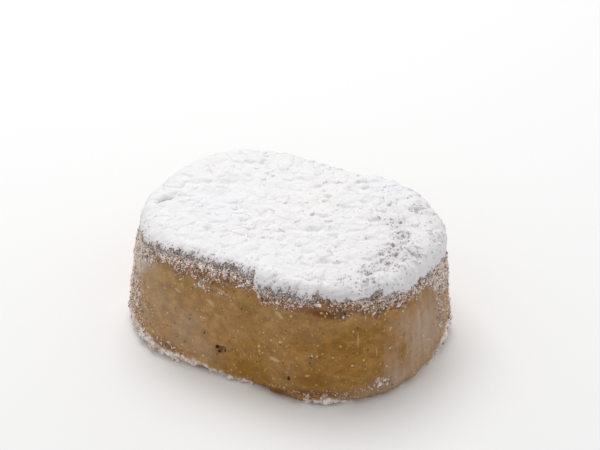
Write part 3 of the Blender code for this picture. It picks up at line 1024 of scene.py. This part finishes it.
def almond_shortbread():
    """Almond shortbread, pressed and cut: a fine, faintly oily crumb from tan to amber.

    Sugar dust sits on it as single light grains between dark ones, and as a thin greyish film.
    """
    material, add, place = new_finish("almond shortbread")
    trait = {
        name: add("ShaderNodeAttribute", out="Fac", attribute_name=name)
        for name in ("amber", "scraped", "haze", "toasted", "sliver", "dark", "crumbly", "snow")
        + ("filmed", "dust", "stray", "rim")
    }
    lying = add("ShaderNodeMapping", {"Vector": place, "Scale": (1, 1, 1.5)})
    upright = add("ShaderNodeMapping", {"Vector": place, "Scale": (1, 1, 0.1)})
    small = add("ShaderNodeMapping", {"Vector": place, "Scale": (1.3, 1.3, 0.7)})

    # Broad change from tan to amber, about 7 mm across, with pinker drifts half as wide
    drift = clouds(add, lying, 7 * MM, 3.0, 0.3, 0.7, -0.5, 0.5)
    ripe = add("ShaderNodeMath", {0: trait["amber"], 1: drift}, operation="ADD", use_clamp=True)
    pinker = clouds(add, lying, 3.2 * MM, 2.0, 0.35, 0.65, 0.0, 0.55)
    body = layered(add, colour("B08B59"), (ripe, 1.0, "976B22"), (pinker, 1.0, "A87A45"))

    # Crumb: soft mottling 1.7 mm across, packed bits about as large, and grain of 0.35 mm
    mottle = clouds(add, lying, 1.7 * MM, 3.0, 0.3, 0.7, 0.78, 1.16)
    waved = pushed_about(add, place, 0.9 * MM, 1.6 * MM, 3.0, lying)
    bits = add("ShaderNodeTexVoronoi", {"Vector": waved, "Scale": 1 / (1.6 * MM)}, "Color")
    bits = add("ShaderNodeMapRange", {0: add("ShaderNodeSeparateColor", {0: bits}), 3: 0.91, 4: 1.08})
    grain = add("ShaderNodeTexNoise", {"Vector": place, "Scale": 1 / (0.35 * MM), "Detail": 2.0})
    grainy = add("ShaderNodeMapRange", {0: grain, 1: 0.3, 2: 0.7, 3: 0.88, 4: 1.12})
    shade = add("ShaderNodeMath", {0: mottle, 1: grainy}, operation="MULTIPLY")
    shade = add("ShaderNodeMath", {0: shade, 1: bits}, operation="MULTIPLY")
    crumb = add("ShaderNodeVectorMath", {0: body, "Scale": shade}, operation="SCALE")

    # A film of sugar rubbed into the crumb, streaked upright where the cutter scraped it
    streak = clouds(add, upright, 1.1 * MM, 3.0, 0.36, 0.66, -0.3, 1.0)
    streaked = add("ShaderNodeMath", {0: trait["scraped"], 1: streak}, operation="MULTIPLY")
    film = add("ShaderNodeMath", {0: streaked, 1: trait["haze"]}, operation="ADD")
    film = add("ShaderNodeMath", {0: film, 1: 0.7}, operation="MULTIPLY", use_clamp=True)

    # Ground almond as pale pricks 0.2 to 0.3 mm across with darker specks of painted shadow beside
    # them, slivers, pits painted near-black as painted shade, then the band's darker, redder brown and
    # the sugar over it
    crowd = clouds(add, place, 3.5 * MM, 2.0, 0.4, 0.6, 0.05, 0.4)
    bitten = layered(
        add,
        crumb,
        (film, 0.8, "B6A194"),
        # toasted crumb, and painted shade among the foot's crumbs
        (trait["toasted"], 1.0, "764812"),
        (specks(add, place, 0.8 * MM, 0.26 * MM, crowd), 0.75, "DDBF8A"),
        (specks(add, small, 0.5 * MM, 0.2 * MM, crowd), 0.45, "D3B279"),
        # darker specks: painted shadow beside the pale grains
        (specks(add, lying, 0.75 * MM, 0.26 * MM, crowd), 0.6, "55350F"),
        (broken_edge(add, trait["sliver"], grain, 0.6, 0.24, 0.52, 0.75), 1.0, "C9AD80"),
        # pits painted near-black: painted shade
        (broken_edge(add, trait["dark"], grain, 0.6, 0.65, 0.85, 0.95), 1.0, "2E1808"),
        (trait["crumbly"], 0.75, "825B41"),
        (trait["snow"], 0.55, "D2C4BB"),
        (trait["filmed"], 0.9, "F2EEEA"),
    )

    # Caught dust: grains 0.24 mm across, light, tan and dark side by side, with more contrast
    # where the sugar lies thick
    cells = add("ShaderNodeTexVoronoi", {"Vector": place, "Scale": 1 / (0.24 * MM)}, None)
    own = add("ShaderNodeSeparateColor", {0: cells["Color"]}, None)
    clustered = clouds(add, place, 0.9 * MM, 1.0, 0.35, 0.65, 0.0, 0.42)
    tone = add("ShaderNodeMath", {0: own[0], 1: 0.58, 2: clustered}, operation="MULTIPLY_ADD")
    contrast = add("ShaderNodeMath", {0: tone, 1: 0.34}, operation="SUBTRACT")
    contrast = add("ShaderNodeMath", {0: contrast, 1: trait["snow"]}, operation="MULTIPLY")
    tone = add("ShaderNodeMath", {0: contrast, 1: 1.6, 2: tone}, operation="MULTIPLY_ADD")
    grains = add("ShaderNodeValToRGB", {0: tone})
    ramp = grains.node.color_ramp
    ramp.interpolation = "CONSTANT"
    ramp.elements.remove(ramp.elements[1])
    ramp.elements[0].color = colour("54392A")
    for position, code in ((0.16, "7E5A46"), (0.34, "A5816C"), (0.56, "CDB3A2"), (0.76, "E6D6CA")):
        ramp.elements.new(position).color = colour(code)
    ramp.elements.new(1.0).color = colour("FAF3EE")
    caught = add("ShaderNodeMath", {0: trait["dust"], 1: own[1]}, operation="GREATER_THAN")
    warmed = layered(add, grains, (trait["stray"], 0.35, "E2C69C"))

    # The foot's own sugar, packed and slightly pink-grey
    packed = clouds(add, place, 0.8 * MM, 3.0, 0.36, 0.50, 0.35, 1.0)
    dusted = layered(add, bitten, (caught, 1.0, warmed), (trait["rim"], packed, "FAF2EE"))

    # Bump: the grain itself, and the dust standing on it
    fine = add("ShaderNodeBump", {"Strength": 0.6, "Distance": 0.05 * MM, "Height": grainy})
    raised = add("ShaderNodeMath", {0: caught, 1: cells["Distance"]}, operation="MULTIPLY")
    heap = {"Strength": 0.6, "Distance": 0.10 * MM, "Height": raised, "Normal": fine}
    values = {
        "Roughness": 0.62,
        "IOR": 1.45,
        "Specular IOR Level": 0.3,
        "Subsurface Weight": 0.12,
        "Subsurface Radius": (1.0, 0.55, 0.25),
        "Subsurface Scale": 0.5 * MM,
    }
    return cover(material, dusted, add("ShaderNodeBump", heap, invert=True), values)


def icing_sugar():
    """Icing sugar: a fine milled powder in soft clumps, white with the faintest cool and warm casts."""
    material, add, place = new_finish("icing sugar")
    edge, grey, bare = (
        add("ShaderNodeAttribute", out="Fac", attribute_name=name) for name in ("edge", "grey", "bare")
    )
    cast = clouds(add, place, 14 * MM, 2.0, 0.35, 0.65, 0.0, 1.0)
    powder = add("ShaderNodeTexNoise", {"Vector": place, "Scale": 1 / (0.3 * MM), "Detail": 3.0})
    powdered = shaded(add, layered(add, colour("F9F7F7"), (cast, 1.0, "F7F7F9")), powder, 0.96, 1.01)

    # The cake shows through pricks in the sugar; their grey-lilac, and the grey over bare places, is
    # partly painted shade in these small crevices
    cells = add("ShaderNodeTexVoronoi", {"Vector": place, "Scale": 1 / (0.2 * MM)}, "Color")
    own = add("ShaderNodeSeparateColor", {0: cells}, None)
    opened = add("ShaderNodeMath", {0: bare, 1: 0.9}, operation="MULTIPLY")
    pricked = add("ShaderNodeMath", {0: opened, 1: own[0]}, operation="GREATER_THAN")
    depth = layered(add, colour("5C565E"), (own[2], 1.0, "A7A2A9"))

    # Finer grey specks lie all over the thin end: painted shade of tiny crevices in the powder
    crowd = add("ShaderNodeMapRange", {0: grey, 1: 0.03, 2: 0.3, 3: 0.0, 4: 0.55})
    shade_specks = specks(add, place, 0.6 * MM, 0.24 * MM, crowd)

    # Towards its edge the powder thins to single grains over the brown crumb
    lumps = add("ShaderNodeTexNoise", {"Vector": place, "Scale": 1 / (0.9 * MM), "Detail": 2.0})
    thinning = broken_edge(add, edge, lumps, 0.5, 0.45, 1.25, 0.85)
    lost = add("ShaderNodeMath", {0: thinning, 1: own[1]}, operation="GREATER_THAN")
    tint = layered(add, colour("574743"), (own[2], 1.0, "C0B3AB"))
    shown = layered(
        add,
        powdered,
        # edge and grey: partly the thin sugar's own grey, partly painted shade where the sugar turns
        # down and over the front lobe
        (edge, 0.5, "CFC7C4"),
        (grey, 0.8, "CDC8CA"),
        # bare and pricked: the cake showing through, partly painted shade
        (bare, 0.5, "BDB8BE"),
        (pricked, 0.68, depth),
        # painted shade of tiny crevices
        (shade_specks, 0.5, "857F88"),
        (lost, 1.0, tint),
    )
    fine = add("ShaderNodeBump", {"Strength": 0.5, "Distance": 0.06 * MM, "Height": powder})
    values = {
        "Roughness": 0.9,
        "IOR": 1.5,
        "Specular IOR Level": 0.2,
        "Subsurface Weight": 0.1,
        "Subsurface Radius": (1.0, 0.95, 0.9),
        "Subsurface Scale": 0.2 * MM,
    }
    return cover(material, shown, fine, values)


def loose_grains(name, light, dark, share_dark):
    """Loose grains, each of one tone between two, so that no two beside each other match."""
    material, add, place = new_finish(name)
    own = add("ShaderNodeAttribute", out="Fac", attribute_name="tone")
    clustered = clouds(add, place, 1.1 * MM, 1.0, 0.35, 0.65, 0.4, 0.0)
    tone = add("ShaderNodeMath", {0: own, 1: 0.6, 2: clustered}, operation="MULTIPLY_ADD")
    mixed = add("ShaderNodeMapRange", {0: tone, 1: 1 - share_dark, 2: 1.0, 3: 0.0, 4: 1.0})
    fleck = add("ShaderNodeTexNoise", {"Vector": place, "Scale": 1 / (0.25 * MM), "Detail": 2.0})
    flecked = shaded(add, layered(add, colour(light), (mixed, 1.0, dark)), fleck, 0.9, 1.06)
    fine = add("ShaderNodeBump", {"Strength": 0.4, "Distance": 0.04 * MM, "Height": fleck})
    return cover(material, flecked, fine, {"Roughness": 0.75, "IOR": 1.5, "Specular IOR Level": 0.3})


def grain_shapes(name, fineness, flatness, seeds, craggy=0.5):
    """A collection of a few knobbly grains, 1 m across, for scattering at size."""
    shapes = bpy.data.collections.new(name)
    for seed in seeds:
        lump = bmesh.new()
        bmesh.ops.create_icosphere(lump, subdivisions=fineness, radius=0.5)
        for vert in lump.verts:
            stretch = 1 + craggy * noise.noise(vert.co * 2.1 + Vector((seed, 0, 0)))
            vert.co = vert.co * stretch * (1 + 0.25 * noise.noise(vert.co * 5 + Vector((0, seed, 0))))
            vert.co.z *= flatness
        mesh = bpy.data.meshes.new(f"{name}_{seed}")
        lump.to_mesh(mesh)
        lump.free()
        mesh.shade_smooth()
        shapes.objects.link(bpy.data.objects.new(f"{name}_{seed}", mesh))
    return shapes


def scatter_tree():
    """Geometry nodes that strew grains over a surface, most of them small, each with its own tone."""
    tree = bpy.data.node_groups.new("strewn grains", "GeometryNodeTree")
    for name, kind in STREW_INPUTS:
        tree.interface.new_socket(name, in_out="INPUT", socket_type="NodeSocket" + kind)
    tree.interface.new_socket("Grains", in_out="OUTPUT", socket_type="NodeSocketGeometry")
    add = partial(put, tree)
    given = add("NodeGroupInput", out=None)
    seed, smallest, tilt = given["Seed"], given["Smallest"], given["Tilt"]

    # Where they fall
    where = {"Name": given["Where"]}
    where = add("GeometryNodeInputNamedAttribute", where, "Attribute", data_type="FLOAT")
    crowd = {0: given["Grains in each square mm"], 1: 1 / MM**2}
    crowd = add("ShaderNodeMath", crowd, operation="MULTIPLY")
    density = add("ShaderNodeMath", {0: where, 1: crowd}, operation="MULTIPLY")
    spread = {"Mesh": given["Surface"], "Density": density, "Seed": seed}
    spread = add("GeometryNodeDistributePointsOnFaces", spread, None)

    # How large they are and how far they stand out
    chance = add("FunctionNodeRandomValue", {"Seed": seed}, 1, data_type="FLOAT")
    share = add("ShaderNodeMath", {0: chance, 1: SMALL_GRAINS}, operation="POWER")
    span = add("ShaderNodeMath", {0: given["Largest"], 1: smallest}, operation="SUBTRACT")
    size = add("ShaderNodeMath", {0: share, 1: span, 2: smallest}, operation="MULTIPLY_ADD")
    above = {0: size, 1: given["Share above the surface"]}
    above = add("ShaderNodeMath", above, operation="MULTIPLY")
    move = add("ShaderNodeVectorMath", {0: spread["Normal"], "Scale": above}, operation="SCALE")
    raised = add("GeometryNodeSetPosition", {"Geometry": spread["Points"], "Offset": move})

    # Which way they lie: tumbled anyhow, or flat with a slight tilt
    tumbled = {"Min": (0, 0, 0), "Max": (FULL_TURN, FULL_TURN, FULL_TURN), "Seed": seed}
    tumbled = add("FunctionNodeRandomValue", tumbled, data_type="FLOAT_VECTOR")
    tumbled = add("FunctionNodeEulerToRotation", {0: tumbled})
    other_way = add("ShaderNodeMath", {0: tilt, 1: -1.0}, operation="MULTIPLY")
    least = add("ShaderNodeCombineXYZ", {0: other_way, 1: other_way, 2: 0.0})
    most = add("ShaderNodeCombineXYZ", {0: tilt, 1: tilt, 2: FULL_TURN})
    spin = {"Min": least, "Max": most, "Seed": seed}
    spin = add("FunctionNodeRandomValue", spin, data_type="FLOAT_VECTOR")
    spin = add("FunctionNodeEulerToRotation", {0: spin})
    flat = {0: spread["Rotation"], 1: spin}
    flat = add("FunctionNodeRotateRotation", flat, rotation_space="LOCAL")
    turned = {"Switch": given["Lie flat"], "False": tumbled, "True": flat}
    turned = add("GeometryNodeSwitch", turned, input_type="ROTATION")

    shapes = {"Collection": given["Shapes"], "Separate Children": True, "Reset Children": True}
    shapes = add("GeometryNodeCollectionInfo", shapes)
    placed = {"Points": raised, "Instance": shapes, "Pick Instance": True}
    placed |= {"Rotation": turned, "Scale": size}
    placed = add("GeometryNodeInstanceOnPoints", placed)
    tone = add("FunctionNodeRandomValue", {"Seed": TONE_SEED}, 1, data_type="FLOAT")
    toned = {"Geometry": placed, "Name": "tone", "Value": tone}
    toned = add("GeometryNodeStoreNamedAttribute", toned, data_type="FLOAT", domain="INSTANCE")
    solid = add("GeometryNodeRealizeInstances", {"Geometry": toned})
    finished = add("GeometryNodeSetMaterial", {"Geometry": solid, "Material": given["Finish"]})
    add("NodeGroupOutput", {0: finished})
    return tree


def strew(tree, name, surface, *values):
    """Grains strewn over a surface as one plain piece, with values in the order of the tree's inputs."""
    holder = bpy.data.objects.new(name + "_holder", surface.data)
    bpy.context.scene.collection.objects.link(holder)
    modifier = holder.modifiers.new("strewn", "NODES")
    modifier.node_group = tree
    given = dict(zip([wanted for wanted, _ in STREW_INPUTS[1:]], values))
    for socket in tree.interface.items_tree:
        if socket.in_out == "INPUT" and socket.name in given:
            in_mm = socket.name in ("Smallest", "Largest")
            modifier[socket.identifier] = given[socket.name] * MM if in_mm else given[socket.name]
    graph = bpy.context.evaluated_depsgraph_get()
    strewn = holder.evaluated_get(graph)
    mesh = bpy.data.meshes.new_from_object(strewn, preserve_all_data_layers=True, depsgraph=graph)
    bpy.data.objects.remove(holder)
    for vert in mesh.vertices:
        vert.co.z = max(vert.co.z, CLEAR_OF_TABLE)
    mesh.name = name
    piece = bpy.data.objects.new(name, mesh)
    bpy.context.scene.collection.objects.link(piece)
    return piece


def dress():
    """Makes every piece that shows and hangs it on the frame."""
    sugar_finish = icing_sugar()
    cake = dressed_cake(almond_shortbread())
    sugar = dressed_sugar(sugar_finish)
    crumbs = loose_grains("toasted crumbs", "9A7560", "553A2A", 0.7)
    grains = loose_grains("sugar grains", "F5EBE3", "A88874", 0.72)
    dusted = loose_grains("dusted crumbs", "C9BDB6", "55443F", 0.7)
    white = loose_grains("icing sugar grains", "FCEDE2", "755D50", 0.55)
    almond = loose_grains("almond", "C9AA72", "6F4D22", 0.5)
    tree = scatter_tree()
    fine = grain_shapes("fine_grain", 1, 0.85, (1, 2, 3))
    clump = grain_shapes("clump", 2, 0.8, (4, 5, 6))
    chip = grain_shapes("chip", 1, 0.35, (7, 8, 9))
    flake = grain_shapes("flake", 2, 0.55, (21, 22, 23, 24, 25), craggy=0.8)
    # Name and surface, then the tree's inputs in their order
    strewn = (
        ("dust_grains", cake, fine, "dust", 4.0, 0.15, 0.45, 0.05, False, 0.0, 3, grains),
        ("dust_crumbs", cake, fine, "crumbly", 3.0, 0.14, 0.42, 0.05, False, 0.0, 9, crumbs),
        ("lip_grains", cake, fine, "snow", 12.0, 0.14, 0.45, 0.2, False, 0.0, 11, white),
        ("rim_clumps", cake, clump, "torn", 1.4, 0.25, 1.0, -0.08, False, 0.0, 5, grains),
        ("wall_flecks", cake, chip, "amber", 0.35, 0.14, 0.42, -0.03, True, 0.15, 7, almond),
        ("edge_crumbs", sugar, fine, "edge", 3.0, 0.14, 0.40, 0.0, False, 0.0, 17, dusted),
        ("sugar_clumps", sugar, flake, "clumpy", 0.7, 0.4, 1.6, -0.20, True, 0.3, 13, sugar_finish),
    )
    pieces = [strew(tree, *values) for values in strewn]
    for kinds in (fine, clump, chip, flake):
        for shape in list(kinds.objects):
            bpy.data.objects.remove(shape)
        bpy.data.collections.remove(kinds)
    for piece in (cake, sugar, *pieces):
        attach(piece, "root")
    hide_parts("dough_block")
    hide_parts("sugar_coat")


def set_stage():
    """A plain white table, soft light and the portrait's own viewpoint."""
    bpy.ops.mesh.primitive_plane_add(size=TABLE_SIZE, location=(0, 0, -TABLE_GAP))
    table = bpy.context.object
    table.name = "table"
    material = bpy.data.materials.new("white table")
    material.use_nodes = True
    painted = {"Base Color": colour("FDFDFD"), "Roughness": 0.9, "Specular IOR Level": 0.0}
    for name, value in painted.items():
        material.node_tree.nodes["Principled BSDF"].inputs[name].default_value = value
    table.data.materials.append(material)

    world = bpy.data.worlds.new("white room")
    bpy.context.scene.world = world
    world.use_nodes = True
    world.node_tree.nodes["Background"].inputs["Color"].default_value = (1, 1, 1, 1)
    world.node_tree.nodes["Background"].inputs["Strength"].default_value = ROOM_LIGHT

    light = bpy.data.lights.new("overhead", "AREA")
    light.size = LAMP_SIZE
    light.energy = LAMP_POWER
    lamp = bpy.data.objects.new("overhead", light)
    lamp.location = LAMP_PLACE
    lamp.rotation_euler = (-Vector(LAMP_PLACE)).to_track_quat("-Z", "Y").to_euler()
    bpy.context.scene.collection.objects.link(lamp)

    azimuth, elevation = math.radians(CAMERA_AZIMUTH), math.radians(CAMERA_ELEVATION)
    level = math.cos(elevation)
    back = Vector((math.sin(azimuth) * level, -math.cos(azimuth) * level, math.sin(elevation)))
    right = Vector((math.cos(azimuth), math.sin(azimuth), 0))
    up = back.cross(right)
    camera = bpy.data.objects.new("portrait", bpy.data.cameras.new("portrait"))
    camera.data.sensor_width = SENSOR_WIDTH
    camera.data.lens = SENSOR_WIDTH * FOCAL_PIXELS / FRAME_PIXELS
    camera.data.clip_start = 0.01
    camera.data.clip_end = 10
    aim = Vector((0, 0, AIM_HEIGHT)) + right * AIM_RIGHT + up * AIM_UP
    camera.location = aim + back * CAMERA_DISTANCE
    camera.rotation_euler = Matrix((right, up, back)).transposed().to_euler()
    bpy.context.scene.collection.objects.link(camera)
    bpy.context.scene.camera = camera
    bpy.context.scene.view_settings.view_transform = "Standard"
    bpy.context.scene.view_settings.look = "None"


SHIFT = middle_of_solids()
dress()
set_stage()
